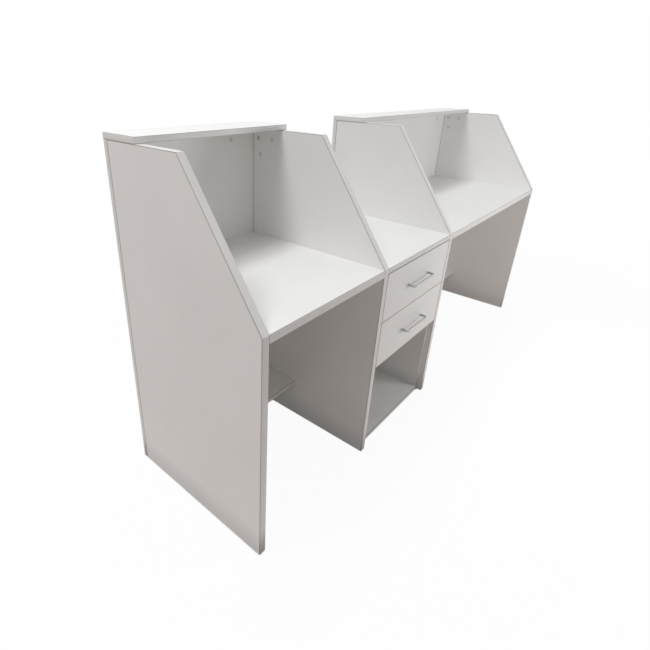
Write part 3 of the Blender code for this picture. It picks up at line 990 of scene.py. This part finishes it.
def drawer_slide(name, side):
    """One telescopic slide: three members, two rows of caged balls between each pair, and its screws."""
    for member, (web, flange, reach, lip) in MEMBERS.items():
        node = f"{name}_slide_{member}_{side}"
        points = member_section(web, flange, reach, lip)
        mesh = rolled_section(node, points, LIPPED_BEND if lip else PLAIN_BEND)
        mesh = carve(mesh, (SLIDE_STEEL,), member_holes(node, web))
        mesh.name = node + "_rolled"
        stand_for(new_object(node + "_rolled", mesh, (SLIDE_STEEL,)), node)
    wall, inward, z_middle, near, far = slide_place(f"{name}_slide_inner_{side}")
    for count, share in enumerate(SCREWED_SHARES, 1):
        place = (wall + inward * (INNER_WEB - SHEET_T / 2), near + (far - near) * share, z_middle)
        screw(f"{name}_{side}_slide_screw_{count}", place, (-inward, 0, 0), name + "_drawer")
    tracks = (
        ("outer", "root", (OUTER_FLANGE + MIDDLE_FLANGE) / 2, OUTER_TRACK_U),
        ("inner", name + "_slide_members", (MIDDLE_FLANGE + INNER_FLANGE) / 2, INNER_TRACK_U),
    )
    for track, body, height, u in tracks:
        for level, z in (("upper", z_middle + height), ("lower", z_middle - height)):
            matrix = Matrix.Translation((wall + inward * u, near + CAGE_INSET, z))
            label = f"{name}_{side}_{track}_{level}"
            add_fitting(label + "_cage", CAGE_MESH, (ACETAL,), matrix, body)
            add_fitting(label + "_balls", BALL_MESH, (BALL_STEEL,), matrix, body)


for name in ("upper", "lower"):
    for side in ("left", "right"):
        drawer_slide(name, side)


# Stage, light and camera


def background_rays(tree):
    """1 for rays that should see the plain white background: camera, glossy and transmission rays."""
    path = add_node(tree, "LightPath", {}, {})
    mirrored = add_node(
        tree, "Math", {"operation": "MAXIMUM"},
        {0: path.outputs["Is Glossy Ray"], 1: path.outputs["Is Transmission Ray"]},
    )
    seen = add_node(
        tree, "Math", {"operation": "MAXIMUM"}, {0: path.outputs["Is Camera Ray"], 1: mirrored.outputs[0]}
    )
    return seen.outputs[0]


def pale_floor():
    """A plain floor: white to the eye with the desk's faint shadow, a warm grey to the light."""
    material, tree, output = new_material("studio_floor_painted")
    lit = add_node(tree, "BsdfDiffuse", {"Color": linear(FLOOR_LIT)}, {})
    shadowed = add_node(tree, "BsdfDiffuse", {"Color": linear(FLOOR_SHADED)}, {})
    contact = add_node(
        tree, "AmbientOcclusion", {"Distance": CONTACT_SHADOW, "samples": CONTACT_SAMPLES}, {}
    )
    pool = add_node(
        tree, "MapRange", {"From Min": CONTACT_DARK, "From Max": CONTACT_OPEN},
        {"Value": contact.outputs["AO"]},
    )
    glow = add_node(tree, "Emission", {"Strength": 1.0}, {"Color": pool.outputs["Result"]})
    place = add_node(tree, "TexCoord", {}, {})
    distance = add_node(tree, "VectorMath", {"operation": "LENGTH"}, {0: place.outputs["Object"]})
    white = add_node(
        tree, "MapRange", {"From Max": FLOOR_WHITE_FROM, "To Min": FLOOR_WHITE_NEAR},
        {"Value": distance.outputs["Value"]},
    )
    eye = add_node(
        tree, "MixShader", {}, {0: white.outputs["Result"], 1: shadowed.outputs[0], 2: glow.outputs[0]}
    )
    floor = add_node(
        tree, "MixShader", {}, {0: background_rays(tree), 1: lit.outputs[0], 2: eye.outputs[0]}
    )
    tree.links.new(floor.outputs[0], output.inputs["Surface"])
    shape = bmesh.new()
    bmesh.ops.create_grid(shape, x_segments=1, y_segments=1, size=FLOOR_SIZE / 2)
    new_object("studio_floor", to_mesh("studio_floor", shape), (material,))


def studio_world():
    """A soft even light from all round, seen as plain white."""
    world = bpy.data.worlds.new("studio_world")
    bpy.context.scene.world = world
    world.use_nodes = True
    tree = world.node_tree
    tree.nodes.clear()
    soft = add_node(tree, "Background", {"Color": linear(LAMP_TONE), "Strength": WORLD_LIGHT}, {})
    white = add_node(tree, "Background", {"Color": linear("#FFFFFF"), "Strength": 1.0}, {})
    both = add_node(
        tree, "MixShader", {}, {0: background_rays(tree), 1: soft.outputs[0], 2: white.outputs[0]}
    )
    add_node(tree, "OutputWorld", {}, {"Surface": both.outputs[0]})


def soft_light(name, place, facing, size, power):
    """A plain rectangular soft light, itself out of the camera's sight."""
    lamp = bpy.data.lights.new(name, "AREA")
    lamp.shape = "RECTANGLE"
    lamp.size, lamp.size_y = size
    lamp.energy = power
    lamp.color = linear(LAMP_TONE)[:3]
    obj = bpy.data.objects.new(name, lamp)
    obj.location = place
    obj.rotation_euler = (Vector(facing) - Vector(place)).to_track_quat("-Z", "Y").to_euler()
    obj.visible_camera = False
    bpy.context.scene.collection.objects.link(obj)


def photo_camera():
    """The camera at the photograph's viewing angle and framing."""
    azimuth, elevation, roll = (radians(v) for v in (CAMERA_AZIMUTH, CAMERA_ELEVATION, CAMERA_ROLL))
    forward = Vector((-sin(azimuth) * cos(elevation), cos(azimuth) * cos(elevation), -sin(elevation)))
    level_right = forward.cross(Vector((0, 0, 1))).normalized()
    level_down = forward.cross(level_right)
    right = level_right * cos(roll) + level_down * sin(roll)
    down = level_down * cos(roll) - level_right * sin(roll)
    camera = bpy.data.cameras.new("photo_camera")
    camera.sensor_width = SENSOR_WIDTH
    camera.lens = FOCAL_PIXELS / PHOTO_WIDTH * SENSOR_WIDTH
    camera.shift_x = (PHOTO_WIDTH / 2 - CENTRE_PIXEL[0]) / PHOTO_WIDTH
    camera.shift_y = (CENTRE_PIXEL[1] - PHOTO_WIDTH / 2) / PHOTO_WIDTH
    obj = bpy.data.objects.new("photo_camera", camera)
    bpy.context.scene.collection.objects.link(obj)
    turn = Matrix((right, -down, -forward)).transposed().to_4x4()
    obj.matrix_world = Matrix.Translation(CAMERA_PLACE) @ turn
    bpy.context.scene.camera = obj


pale_floor()
studio_world()
for name, light in SOFT_LIGHTS.items():
    soft_light(name, *light)
photo_camera()
bpy.context.scene.view_settings.view_transform = "Standard"
